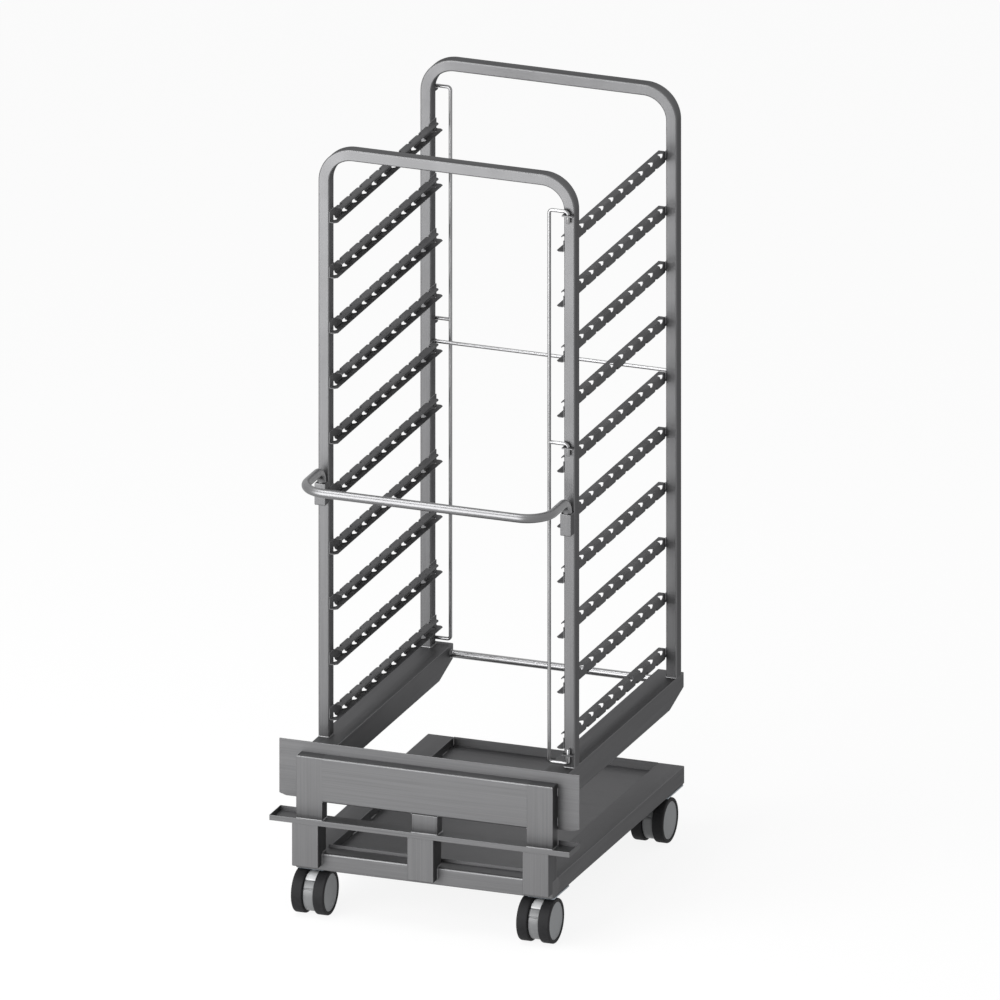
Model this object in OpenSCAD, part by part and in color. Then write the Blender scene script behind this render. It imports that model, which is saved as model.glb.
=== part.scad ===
// Oven rack trolley: ten pairs of punched tray rails welded between two bent tube frames.
// The rack stands on two runners behind a splash panel, and a low chassis on four
// twin-wheel casters carries it. The oven floor passes between runners and chassis.
// +Z is up, the front with the push handle faces -Y, and the origin is on the floor
// under the middle of the trolley. Millimetres.

/* [Rack frames] */
// Width of the rack over its posts
rack_w = 590; // [560:1:640]
// Depth of the rack over its posts
rack_d = 650; // [600:1:700]
// Height of the trolley
total_h = 1705; // [1690:1:1760]
// Width of a post tube, left to right
post_w = 25; // [20:1:30]
// Depth of a post tube, front to back
post_d = 30; // [25:1:40]
// Wall of the post tubes
post_wall = 1.5; // [1:0.5:3]
// Outer bend radius of a frame's top corners
frame_bend = 77.5; // [50:0.5:110]

/* [Tray rails] */
// Height of the lowest rail's underside
first_rail_z = 400; // [390:1:410]
// Distance of the highest rail's underside below the top of the trolley
top_rail_drop = 171; // [130:1:260]
// Height of a rail
rail_h = 26; // [24:1:40]
// Width of a rail
rail_w = 18; // [15:1:25]
// Thickness of the rail sheet
rail_t = 1.5; // [1:0.1:2]
// Outer bend radius of the rail sheet
rail_bend = 3; // [2.5:0.5:4]
// Depth of the turned-down lip of a rail
rail_lip = 4; // [3.5:0.5:8]
// Length by which the top flange is cut back at each end
rail_cutback = 32; // [31:1:50]
// Corner cut at each end of the bottom flange
rail_corner = 6; // [2:1:10]
// Diameter of the holes that are punched on the bend lines
rail_hole_d = 18; // [8:0.5:20]
// Step of the holes along a bend
rail_hole_pitch = 60; // [40:1:70]
// First hole of the bottom bend, from the front of the rail
rail_hole_start = 25; // [20:1:40]

/* [Runners] */
// Width of a runner, and of the beams and posts in line with it
runner_w = 60; // [50:1:70]
// Height of a runner
runner_h = 60; // [50:1:70]
// Height of the runners' undersides
runner_z = 300; // [290:1:310]
// Wall of the runners, beams and portal tubes
beam_wall = 2; // [1.5:0.5:3]
// Length of the runners behind the rack
runner_tail = 15; // [5:1:30]
// Length of the sloped end of a runner
runner_slope = 85; // [60:1:120]
// Height of the runner's blunt end
runner_nose = 34; // [20:1:45]

/* [Rods] */
// Diameter of the tray stop rod at the back
stop_rod_d = 8; // [6:0.5:10]
// Height of the tray stop rod above the underside of the rails that carry it
stop_rod_rise = 23; // [10:1:23]
// Distance of the stop rod from the back of the rack
stop_rod_inset = 10; // [8:1:14]
// Diameter of the rod that ties the runners at the back
base_rod_d = 17; // [12:1:20]
// Height of the rod that ties the runners
base_rod_z = 341; // [335:1:348]

/* [Splash panel] */
// Width of the splash panel and of the gutter
panel_w = 690; // [660:1:740]
// Thickness of the splash panel
panel_t = 2; // [1:0.5:3]
// Underside of the splash panel
panel_z = 255; // [240:1:262]
// Height of the splash panel
panel_h = 129; // [120:1:140]
// Front face of the splash panel, in front of the rack
panel_reach = 104; // [95:1:120]
// Width of the cut at the panel's lower corners
panel_corner_w = 15; // [5:1:25]
// Height of the cut at the panel's lower corners
panel_corner_h = 5; // [2:1:10]

/* [Portal and gutter] */
// Depth of the portal tubes, front to back
portal_d = 30; // [25:1:35]
// Height of the portal beam
portal_beam_h = 100; // [80:1:110]
// Radius of the portal beam's upper front edge
portal_round = 6; // [2:0.5:8]
// Underside of the gutter
gutter_z = 216.5; // [210:0.5:222]
// Depth of the gutter, front to back
gutter_d = 68; // [66:1:80]
// Distance that the gutter reaches in front of the portal
gutter_lead = 31; // [28:1:33]
// Thickness of the gutter sheet
gutter_t = 1.5; // [1:0.5:2]
// Height of the gutter
gutter_h = 12; // [8:0.5:20]

/* [Chassis] */
// Underside of the chassis
chassis_z = 105; // [104:1:120]
// Height of the chassis tubes
chassis_h = 40; // [30:1:50]
// Depth of the cross members, front to back
cross_d = 40; // [35:1:50]
// Front face of the front cross member, in front of the rack
cross_reach = 135; // [130:1:140]
// Distance that the chassis reaches behind the rack
chassis_tail = 18; // [10:1:30]
// Radius of the front cross member's upper front edge
cross_round = 5; // [2:0.5:8]
// Depth of the floor pan below the beam tops
pan_drop = 20; // [10:1:25]
// Thickness of the floor pan
pan_t = 1.5; // [1:0.5:2]
// Height of the floor pan's front lip above the beam tops
pan_lip = 7; // [3:1:12]
// Depth of a lower leg, front to back
leg_d = 50; // [40:1:54]
// Distance that a lower leg hangs in front of the cross member
leg_lead = 25; // [10:1:29]
// Underside of the lower legs
leg_z = 117; // [106:1:130]

/* [Push handle] */
// Diameter of the handle tube
handle_d = 20; // [18:0.5:21]
// Wall of the handle tube
handle_wall = 2; // [1.5:0.5:3]
// Height of the handle
handle_z = 973; // [960:1:1000]
// Centre of the handle bar, in front of the rack
handle_reach = 155; // [140:1:170]
// Bend radius of the handle's two front corners
handle_bend = 60; // [40:1:80]
// Bend radius where an arm turns down into its socket
elbow_bend = 28; // [24:1:28]
// Height of a handle socket
socket_h = 50; // [40:1:60]
// Thickness of the socket's floor
socket_floor = 2; // [1:0.5:5]
// Wall of the socket in front of its bore
socket_wall = 1.5; // [1:0.1:3]
// Running clearance of the handle in its socket, on the radius
handle_gap = 0.05; // [0.02:0.01:0.1]

/* [Tray gates] */
// Diameter of the gate wire
wire_d = 8; // [6:0.5:9]
// Bend radius of the gate wire, on its centre line
wire_bend = 7; // [6:0.5:10]
// Distance from the pivot to the upright wire
gate_reach = 43.5; // [38:0.5:50]
// Distance of a gate's top arm below the top of the trolley
gate_top_drop = 75; // [45:1:105]
// Height of the middle arm of a gate
gate_mid_z = 1100; // [1090:1:1110]
// Height of the bottom arm of a gate
gate_low_z = 371; // [368:1:375]
// Distance of the pivot from the face of the post
pivot_lead = 7; // [6.5:0.5:9]
// Length of a pin below the underside of its arm
pin_len = 24; // [16:1:30]
// Length of the bottom pin above the centre of its arm
low_pin_len = 34; // [28:1:40]
// Thickness of a bracket plate
bracket_t = 3; // [2:0.5:4]
// Underside of the lowest bracket plate above the bottom arm
low_bracket_rise = 19; // [15:1:22]
// Running clearance of a pin in its bracket, on the radius
pin_gap = 0.05; // [0.02:0.01:0.1]
// Gap between a gate's bend and the bracket that it hangs on
gate_seat_gap = 0.2; // [0.1:0.1:0.5]

/* [Casters] */
// Diameter of a caster wheel
wheel_d = 100; // [90:1:100]
// Width of a wheel
wheel_w = 25; // [20:1:28]
// Diameter of the wheel's disc inside the tyre
disc_d = 84; // [70:1:86]
// Depth of the disc's face inside the wheel's side
disc_recess = 1.5; // [1:0.1:3]
// Chamfer on the edges of the tyre
tyre_edge = 2; // [1:0.5:2]
// Width of the body between the two wheels
body_w = 24; // [22:1:28]
// Gap between a wheel and the body
wheel_gap = 0.5; // [0.3:0.1:1]
// Diameter of the body's drum
drum_d = 88; // [80:1:90]
// Distance from the swivel axis to the wheels' axle
trail = 35; // [30:1:40]
// Distance of a caster's swivel axis from the side of the rack
caster_inset = 36; // [27:1:40]
// Swivel axis of the front casters, in front of the rack
front_caster_reach = 80; // [75:1:90]
// Swivel axis of the rear casters, ahead of the back of the rack
rear_caster_inset = 36; // [30:1:60]
// Thickness of a caster's mounting plate
plate_t = 3.5; // [3:0.5:4]
// Length of a mounting plate, front to back
plate_l = 92; // [85:1:100]
// Diameter of the kingpin
kingpin_d = 12; // [10:1:14]
// Length of the kingpin
kingpin_l = 40; // [30:1:44]
// Running clearance of the kingpin and of the wheels, on the radius
bearing_gap = 0.05; // [0.02:0.01:0.1]
// Gap between the swivel neck and its plate
swivel_gap = 0.3; // [0.2:0.1:0.6]
// Diameter of the axle
axle_d = 10; // [8:1:12]
// Distance of an axle end inside the wheel's side
axle_inset = 1; // [1:0.1:3]
// Depth of the two seams across the front of the drum
seam_depth = 1.2; // [0.5:0.1:2]
// Width of the two seams
seam_w = 1.4; // [1:0.1:2.5]
// Diameter of a mounting screw
screw_d = 6; // [5:0.5:8]
// Diameter of a screw head
screw_head_d = 11; // [10:0.5:13]
// Length of a screw
screw_l = 9; // [8:0.5:14]
// Clearance of a screw in its hole, on the radius
screw_gap = 0.05; // [0.02:0.01:0.2]
// Distance between screws, left to right
screw_dx = 42; // [36:1:44]
// Distance between screws, front to back
screw_dy = 76; // [70:1:80]

/* [Hidden] */
$fn = 64;
// Length by which a cut runs past a face that it opens
past = 1;
rail_count = 10;
stop_rail_number = 6;
rail_pitch = (total_h - top_rail_drop - first_rail_z) / (rail_count - 1);
post_x = rack_w / 2 - post_w;
beam_out = rack_w / 2;
beam_in = beam_out - runner_w;
side_mid = (beam_in + beam_out) / 2;
runner_top = runner_z + runner_h;
panel_back = -panel_reach + panel_t;
portal_front = -panel_reach - portal_d;
portal_foot = gutter_z + gutter_t;
beam_foot = runner_top - portal_beam_h;
gutter_front = portal_front - gutter_lead;
gutter_back = gutter_front + gutter_d;
cross_front = -cross_reach;
cross_back = cross_front + cross_d;
chassis_top = chassis_z + chassis_h;
chassis_rear = rack_d + chassis_tail;
pan_top = chassis_top - pan_drop;
leg_front = cross_front - leg_lead;
stop_rod_z = first_rail_z + (stop_rail_number - 1) * rail_pitch + stop_rod_rise;
stop_rod_x = post_x - rail_t;
pivot_x = rack_w / 2 - post_w / 2;
pivot_y = -pivot_lead;
gate_top_z = total_h - gate_top_drop;
bar_y = -handle_reach;
socket_d = handle_d + 2 * handle_gap + 2 * socket_wall;
socket_y = -socket_d / 2;
socket_top = handle_z - elbow_bend;
socket_z = socket_top - socket_h;
handle_front = bar_y - handle_d / 2;
wheel_front = -front_caster_reach - trail - wheel_d / 2;
front_most = min(gutter_front, handle_front, wheel_front);
back_most = max(chassis_rear, rack_d + runner_tail);
mid_y = (front_most + back_most) / 2;
caster_x = rack_w / 2 - caster_inset;
plate_z = chassis_z - plate_t;
neck_top = plate_z - swivel_gap;
neck_d = body_w;
axle_z = wheel_d / 2;
wheel_in = body_w / 2 + wheel_gap;
wheel_out = wheel_in + wheel_w;
screw_head_h = (screw_head_d - screw_d) / 2;

side_names = ["left", "right"];
caster_names = ["front_left", "front_right", "rear_left", "rear_right"];
caster_places = [
    [-caster_x, -front_caster_reach],
    [caster_x, -front_caster_reach],
    [-caster_x, rack_d - rear_caster_inset],
    [caster_x, rack_d - rear_caster_inset],
];

// Moves the rack's own frame, which starts at the posts' front face, to the trolley's origin
module placed() translate([0, -mid_y, 0]) children();

// A block from its lowest and highest corners
module block(lo, hi) translate(lo) cube(hi - lo);

// A cylinder along X, from x to x + l
module bar_x(x, y, z, l, d) translate([x, y, z]) rotate([0, 90, 0]) cylinder(h = l, d = d);

// A block without its core. The walls are those along X, Y and Z, and -past opens a side
module hollow_block(lo, hi, walls) difference() {
    block(lo, hi);
    block(lo + walls, hi - walls);
}

// Turns a shape half round about the upright line through the rack's middle
module half_turned() translate([0, rack_d, 0]) rotate([0, 0, 180]) children();

// A filled arch: straight sides, round shoulders, a flat top
module arch(w, h, r) {
    translate([-w / 2, 0]) square([w, h - r]);
    translate([-w / 2 + r, 0]) square([w - 2 * r, h]);
    for (side = [-1, 1]) translate([side * (w / 2 - r), h - r]) circle(r = r);
}

// The outline between two arches, one inside the other
module arch_ring(w, h, r, band) difference() {
    arch(w, h, r);
    translate([0, -past]) arch(w - 2 * band, h - band + past, r - band);
}

// One bent tube frame that stands on the runners, in the XZ plane
module rack_frame() {
    frame_h = total_h - runner_top;
    translate([0, post_d, runner_top]) rotate([90, 0, 0]) difference() {
        linear_extrude(post_d) arch_ring(rack_w, frame_h, frame_bend, post_w);
        translate([0, -past, post_wall]) linear_extrude(post_d - 2 * post_wall)
            arch_ring(rack_w - 2 * post_wall, frame_h + past - post_wall, frame_bend - post_wall,
                post_w - 2 * post_wall);
    }
}

module front_frame() color("silver") placed() rack_frame();

module rear_frame() color("silver") placed() translate([0, rack_d - post_d, 0]) rack_frame();

// A rectangle with four round corners
module round_box(w, h, r) {
    translate([r, 0]) square([w - 2 * r, h]);
    translate([0, r]) square([w, h - 2 * r]);
    for (x = [r, w - r]) for (y = [r, h - r]) translate([x, y]) circle(r = r);
}

// Section of a rail: web at the left, plain bottom flange, top flange with a turned-down lip
module rail_section() difference() {
    union() {
        round_box(rail_w, rail_h, rail_bend);
        translate([rail_w / 2, 0]) square([rail_w / 2, rail_t]);
    }
    translate([rail_t, rail_t])
        round_box(rail_w - 2 * rail_t, rail_h - 2 * rail_t, rail_bend - rail_t);
    translate([rail_w / 2, rail_t]) square([rail_w, rail_h - rail_t - rail_lip]);
}

// A hole punched on a bend line before bending: half a circle in each of the two faces
module bend_hole(y, z) translate([0, y, z]) for (tilt = [0, 90]) rotate([0, tilt, 0])
    cylinder(h = 2 * rail_bend, d = rail_hole_d, center = true);

// The right-hand wall's rail turned to the left: its web lies in the plane X = 0
module rail() {
    hole_last = floor((rack_d - 2 * rail_hole_start) / rail_hole_pitch);
    difference() {
        translate([0, rack_d, 0]) rotate([90, 0, 0]) linear_extrude(rack_d) rail_section();
        for (y = [-past, rack_d - rail_cutback + past])
            translate([rail_t, y, rail_h - rail_lip - past])
                cube([rail_w, rail_cutback, rail_lip + 2 * past]);
        for (end = [0, 1]) translate([rail_w, end * rack_d, 0]) rotate([0, 0, 45])
            cube([rail_corner * sqrt(2), rail_corner * sqrt(2), 2 * (rail_t + past)], center = true);
        for (i = [0:hole_last])
            bend_hole(rail_hole_start + i * rail_hole_pitch, 0);
        for (i = [0:hole_last - 1])
            bend_hole(rail_hole_start + (i + 0.5) * rail_hole_pitch, rail_h);
    }
}

module rail_left(i) color("silver") placed()
    translate([-post_x, 0, first_rail_z + (i - 1) * rail_pitch]) rail();

module rail_right(i) color("silver") placed() mirror([1, 0, 0])
    translate([-post_x, 0, first_rail_z + (i - 1) * rail_pitch]) rail();

// Side outline of a runner, in Y and Z, drawn in by the given amount
module runner_outline(inset) {
    rear = rack_d + runner_tail;
    foot = rear - runner_slope;
    tilt = atan2(runner_h - runner_nose, runner_slope);
    polygon([
        [panel_back, runner_z + inset],
        [foot - inset * tan(tilt / 2), runner_z + inset],
        [rear - inset, runner_top - runner_nose + inset / cos(tilt) - inset * tan(tilt)],
        [rear - inset, runner_top - inset],
        [panel_back, runner_top - inset],
    ]);
}

// A runner on the side with positive X, with a sloped rear end
module runner() translate([beam_in, 0, 0]) difference() {
    rotate([90, 0, 90]) linear_extrude(runner_w) runner_outline(0);
    translate([beam_wall, -past, 0]) rotate([90, 0, 90])
        linear_extrude(runner_w - 2 * beam_wall) runner_outline(beam_wall);
}

module runner_left() color("silver") placed() mirror([1, 0, 0]) runner();

module runner_right() color("silver") placed() runner();

module rear_base_rod() color("silver") placed()
    bar_x(-beam_in, rack_d, base_rod_z, 2 * beam_in, base_rod_d);

module rear_stop_rod() color("silver") placed()
    bar_x(-stop_rod_x, rack_d - stop_rod_inset, stop_rod_z, 2 * stop_rod_x, stop_rod_d);

module splash_panel() color("silver") placed()
    translate([0, panel_back, 0]) rotate([90, 0, 0]) linear_extrude(panel_t) polygon([
        [-panel_w / 2 + panel_corner_w, panel_z],
        [panel_w / 2 - panel_corner_w, panel_z],
        [panel_w / 2, panel_z + panel_corner_h],
        [panel_w / 2, panel_z + panel_h],
        [-panel_w / 2, panel_z + panel_h],
        [-panel_w / 2, panel_z + panel_corner_h],
    ]);

// A hollow bar along X whose upper front edge is rounded. An end wall of -past opens its ends
module rounded_beam(x, y, z, w, d, h, r, end_wall) translate([-x, y, z]) rotate([90, 0, 90])
    difference() {
        linear_extrude(w) {
            square([d, h - r]);
            translate([r, 0]) square([d - r, h]);
            translate([r, h - r]) circle(r = r);
        }
        translate([beam_wall, beam_wall, end_wall]) linear_extrude(w - 2 * end_wall)
            square([d - 2 * beam_wall, h - 2 * beam_wall]);
    }

module portal_beam() color("silver") placed()
    rounded_beam(beam_in, portal_front, beam_foot, 2 * beam_in, portal_d, portal_beam_h,
        portal_round, -past);

// A hollow post on the gutter's floor, with a closed top
module portal_post(x, top) difference() {
    block([x - runner_w / 2, portal_front, portal_foot], [x + runner_w / 2, -panel_reach, top]);
    block([x - runner_w / 2 + beam_wall, portal_front + beam_wall, portal_foot - past],
        [x + runner_w / 2 - beam_wall, -panel_reach - beam_wall, top - beam_wall]);
}

module portal_posts() color("silver") placed() {
    portal_post(-side_mid, runner_top);
    portal_post(0, beam_foot);
    portal_post(side_mid, runner_top);
}

// The gutter's back wall stops at the outer posts: between them the gutter is open behind
module drip_gutter() color("silver") placed() difference() {
    block([-panel_w / 2, gutter_front, gutter_z], [panel_w / 2, gutter_back, gutter_z + gutter_h]);
    block([-panel_w / 2 + gutter_t, gutter_front + gutter_t, portal_foot],
        [panel_w / 2 - gutter_t, gutter_back - gutter_t, gutter_z + gutter_h + past]);
    block([-beam_out, gutter_back - 2 * gutter_t, portal_foot],
        [beam_out, gutter_back + past, gutter_z + gutter_h + past]);
}

// A hollow leg between gutter and chassis, closed below, hooked over the front cross member
module lower_leg(x) difference() {
    block([x - runner_w / 2, leg_front, leg_z], [x + runner_w / 2, leg_front + leg_d, gutter_z]);
    block([x - runner_w / 2 + beam_wall, leg_front + beam_wall, leg_z + beam_wall],
        [x + runner_w / 2 - beam_wall, leg_front + leg_d - beam_wall, gutter_z + past]);
    block([x - runner_w, cross_front, leg_z - past], [x + runner_w, cross_back, chassis_top]);
}

module lower_legs() color("silver") placed() {
    lower_leg(-side_mid);
    lower_leg(0);
    lower_leg(side_mid);
}

// The places of the mounting screws, four to a plate, at the plates' undersides
module at_screws() for (place = caster_places)
    translate([sign(place[0]) * side_mid, place[1], plate_z])
        for (x = [-screw_dx / 2, screw_dx / 2]) for (y = [-screw_dy / 2, screw_dy / 2])
            translate([x, y, 0]) children();

// The countersunk holes for the mounting screws of all casters
module screw_holes() at_screws() {
    translate([0, 0, -past]) cylinder(h = screw_l + 2 * past, d = screw_d + 2 * screw_gap);
    cylinder(h = screw_head_h, d1 = screw_head_d + 2 * screw_gap, d2 = screw_d + 2 * screw_gap);
}

// A beam closed at its rear end, whose front end stands against the cross member
module chassis_beam() difference() {
    block([beam_in, cross_back, chassis_z], [beam_out, chassis_rear, chassis_top]);
    block([beam_in + beam_wall, cross_back - past, chassis_z + beam_wall],
        [beam_out - beam_wall, chassis_rear - beam_wall, chassis_top - beam_wall]);
}

module chassis_beam_left() color("silver") placed() difference() {
    mirror([1, 0, 0]) chassis_beam();
    screw_holes();
}

module chassis_beam_right() color("silver") placed() difference() {
    chassis_beam();
    screw_holes();
}

module front_cross_member() color("silver") placed() difference() {
    rounded_beam(beam_out, cross_front, chassis_z, 2 * beam_out, cross_d, chassis_h,
        cross_round, beam_wall);
    screw_holes();
}

// The rear cross member lies under the floor pan
module rear_cross_member() color("silver") placed() hollow_block(
    [-beam_in, chassis_rear - cross_d, chassis_z], [beam_in, chassis_rear, pan_top - pan_t],
    [-past, beam_wall, beam_wall]);

// A sheet between the beams, turned up at the front and at the back
module floor_pan() color("silver") placed() {
    block([-beam_in, cross_back, pan_top - pan_t], [beam_in, chassis_rear, pan_top]);
    block([-beam_in, cross_back, pan_top - pan_t],
        [beam_in, cross_back + pan_t, chassis_top + pan_lip]);
    block([-beam_in, chassis_rear - pan_t, pan_top - pan_t],
        [beam_in, chassis_rear, chassis_top]);
}

// A quarter bend of a rod in the XY plane: it enters along +X at the origin and leaves along +Y
module quarter_bend(bend, d) translate([0, bend, 0]) rotate([0, 0, -90])
    rotate_extrude(angle = 90) translate([bend, 0]) circle(d = d);

// The handle's right half as a rod of the given diameter, from its seat to the middle of the bar
module half_handle(d) {
    arm_len = -bar_y - handle_bend + socket_y - elbow_bend;
    translate([pivot_x, socket_y, 0]) {
        translate([0, 0, socket_z + socket_floor])
            cylinder(h = socket_top - socket_z - socket_floor, d = d);
        translate([0, 0, socket_top]) rotate([0, 90, 0]) rotate([0, 0, 180])
            quarter_bend(elbow_bend, d);
        translate([0, -elbow_bend, handle_z]) rotate([90, 0, 0]) cylinder(h = arm_len, d = d);
    }
    translate([pivot_x, bar_y + handle_bend, handle_z]) rotate([0, 0, -90])
        mirror([0, 1, 0]) quarter_bend(handle_bend, d);
    bar_x(0, bar_y, handle_z, pivot_x - handle_bend, d);
}

module push_handle() color("silver") placed() difference() {
    for (side = [0, 1]) mirror([side, 0, 0]) half_handle(handle_d);
    for (side = [0, 1]) mirror([side, 0, 0]) half_handle(handle_d - 2 * handle_wall);
}

module handle_sockets() color("silver") placed() for (side = [-1, 1]) difference() {
    block([side * pivot_x - post_w / 2, -socket_d, socket_z],
        [side * pivot_x + post_w / 2, 0, socket_top]);
    translate([side * pivot_x, socket_y, socket_z + socket_floor])
        cylinder(h = socket_h, d = handle_d + 2 * handle_gap);
}

// An arm from the upright wire to the pivot, whose end turns down (turn = -1) or up (turn = 1)
module gate_arm(z, pin, turn) translate([-gate_reach, 0, z]) {
    bar_x(0, 0, 0, gate_reach - wire_bend, wire_d);
    translate([gate_reach - wire_bend, 0, 0]) rotate([turn * 90, 0, 0])
        quarter_bend(wire_bend, wire_d);
    translate([gate_reach, 0, turn > 0 ? wire_bend : -pin])
        cylinder(h = pin - wire_bend, d = wire_d);
}

// A wire gate with its pivot on the Z axis, closed towards -X
module tray_gate() {
    gate_arm(gate_top_z, pin_len + wire_d / 2, -1);
    gate_arm(gate_mid_z, pin_len + wire_d / 2, -1);
    gate_arm(gate_low_z, low_pin_len, 1);
    translate([-gate_reach, 0, gate_low_z]) {
        sphere(d = wire_d);
        cylinder(h = gate_top_z - gate_low_z, d = wire_d);
    }
    translate([-gate_reach, 0, gate_top_z]) sphere(d = wire_d);
}

module front_tray_gate() color("silver") placed()
    translate([pivot_x, pivot_y, 0]) tray_gate();

module rear_tray_gate() color("silver") placed() half_turned()
    translate([pivot_x, pivot_y, 0]) tray_gate();

// The three bracket plates that carry a gate, welded to the face of the post
module gate_brackets() {
    hang = wire_bend + gate_seat_gap + bracket_t;
    for (z = [gate_top_z - hang, gate_mid_z - hang, gate_low_z + low_bracket_rise])
        difference() {
            block([pivot_x - post_w / 2, -2 * pivot_lead, z],
                [pivot_x + post_w / 2, 0, z + bracket_t]);
            translate([pivot_x, pivot_y, z - past])
                cylinder(h = bracket_t + 2 * past, d = wire_d + 2 * pin_gap);
        }
}

module gate_brackets_front() color("silver") placed() gate_brackets();

module gate_brackets_rear() color("silver") placed() half_turned() gate_brackets();

module caster_plates() color("gainsboro") placed() difference() {
    for (place = caster_places) {
        plate_mid = sign(place[0]) * side_mid;
        block([plate_mid - runner_w / 2, place[1] - plate_l / 2, plate_z],
            [plate_mid + runner_w / 2, place[1] + plate_l / 2, chassis_z]);
        translate([place[0], place[1], plate_z - kingpin_l])
            cylinder(h = kingpin_l + plate_t, d = kingpin_d);
    }
    screw_holes();
}

module caster_screws() color("gainsboro") placed() at_screws() {
    cylinder(h = screw_l, d = screw_d);
    cylinder(h = screw_head_h, d1 = screw_head_d, d2 = screw_d);
}

// Caster parts have the swivel axis on the Z axis and the wheels trailing towards -Y
module caster_body() difference() {
    union() {
        bar_x(-body_w / 2, -trail, axle_z, body_w, drum_d);
        translate([0, 0, axle_z]) cylinder(h = neck_top - axle_z, d = neck_d);
        block([-body_w / 2, -trail, axle_z], [body_w / 2, 0, neck_top - neck_d / 2]);
    }
    bar_x(-body_w, -trail, axle_z, 2 * body_w, axle_d);
    translate([0, 0, plate_z - kingpin_l - past])
        cylinder(h = kingpin_l + 2 * past, d = kingpin_d + 2 * bearing_gap);
    for (angle = [49, 22]) translate([0, -trail, axle_z]) rotate([-angle, 0, 0])
        translate([0, -drum_d / 2, 0])
            cube([body_w + 2 * past, 2 * seam_depth, seam_w], center = true);
}

module axle() bar_x(axle_inset - wheel_out, -trail, axle_z, 2 * (wheel_out - axle_inset), axle_d);

// One wheel from its inner face outwards along +X: tyre, recessed disc and hub
module wheel() translate([wheel_in, -trail, axle_z]) rotate([0, 90, 0]) difference() {
    rotate_extrude() polygon([
        [0, 0],
        [wheel_d / 2 - tyre_edge, 0],
        [wheel_d / 2, tyre_edge],
        [wheel_d / 2, wheel_w - tyre_edge],
        [wheel_d / 2 - tyre_edge, wheel_w],
        [disc_d / 2, wheel_w],
        [disc_d / 2, wheel_w - disc_recess],
        [0, wheel_w - disc_recess],
    ]);
    translate([0, 0, -past]) cylinder(h = wheel_w + 2 * past, d = axle_d + 2 * bearing_gap);
}

module at_caster(i) placed() translate([caster_places[i][0], caster_places[i][1], 0]) children();

front_frame();
rear_frame();
for (i = [1:rail_count]) {
    rail_left(i);
    rail_right(i);
}
runner_left();
runner_right();
rear_base_rod();
rear_stop_rod();
splash_panel();
portal_beam();
portal_posts();
drip_gutter();
lower_legs();
chassis_beam_left();
chassis_beam_right();
front_cross_member();
rear_cross_member();
floor_pan();
push_handle();
handle_sockets();
front_tray_gate();
rear_tray_gate();
gate_brackets_front();
gate_brackets_rear();
caster_plates();
caster_screws();
for (i = [0:3]) {
    name = caster_names[i];
    color("dimgray") at_caster(i) caster_body();
    color("silver") at_caster(i) axle();
    color([0.1, 0.1, 0.1]) at_caster(i) mirror([1, 0, 0]) wheel();
    color([0.1, 0.1, 0.1]) at_caster(i) wheel();
}
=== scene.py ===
"""The looks of an oven rack trolley: brushed stainless tubes, punched rails, wire gates, a push
handle and twin-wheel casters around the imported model. Metres, in the model's own frame."""

import math

import bmesh
import bpy
import numpy as np
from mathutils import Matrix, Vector


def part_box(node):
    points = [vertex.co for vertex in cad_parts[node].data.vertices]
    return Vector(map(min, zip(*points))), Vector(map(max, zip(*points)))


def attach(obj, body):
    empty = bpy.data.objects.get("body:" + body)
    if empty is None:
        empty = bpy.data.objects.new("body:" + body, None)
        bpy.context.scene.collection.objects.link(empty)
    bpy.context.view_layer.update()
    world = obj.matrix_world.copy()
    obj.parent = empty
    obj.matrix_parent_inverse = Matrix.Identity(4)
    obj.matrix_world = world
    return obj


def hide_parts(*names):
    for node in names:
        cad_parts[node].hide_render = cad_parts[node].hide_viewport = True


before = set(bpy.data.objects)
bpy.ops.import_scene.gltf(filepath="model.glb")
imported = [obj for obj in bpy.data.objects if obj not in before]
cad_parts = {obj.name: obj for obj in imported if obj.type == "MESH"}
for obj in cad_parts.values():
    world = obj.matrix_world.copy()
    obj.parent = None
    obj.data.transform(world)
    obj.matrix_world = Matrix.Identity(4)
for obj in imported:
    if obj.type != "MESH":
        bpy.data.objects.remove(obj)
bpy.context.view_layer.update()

MM = 0.001
SIDES = ("left", "right")
CASTERS = ("front_left", "front_right", "rear_left", "rear_right")
RAILS = range(1, 11)

# The photograph's camera: parallel projection, turned to the right of the front and looking down
CAMERA_AZIMUTH = math.radians(20.705)
CAMERA_ELEVATION = math.radians(19.471)
VIEW_WIDTH = 2.1509
VIEW_CENTRE_RIGHT = 0.0263
VIEW_CENTRE_UP = 0.8033
CAMERA_DISTANCE = 6.0


# Shapes

def corner(node, high):
    """A node's lowest (high=0) or highest (high=1) corner as an array."""
    return np.array(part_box(node)[high], float)


def unit(vectors):
    """Each vector divided by its length."""
    vectors = np.asarray(vectors, float)
    return vectors / np.linalg.norm(vectors, axis=-1, keepdims=True)


def ring(diameter, steps=32):
    """A circle as a closed outline: radius times (cos t, sin t), t from 0 to a full turn."""
    t = np.linspace(0, 2 * np.pi, steps + 1)
    return diameter / 2 * np.stack([np.cos(t), np.sin(t)], 1)


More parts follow.
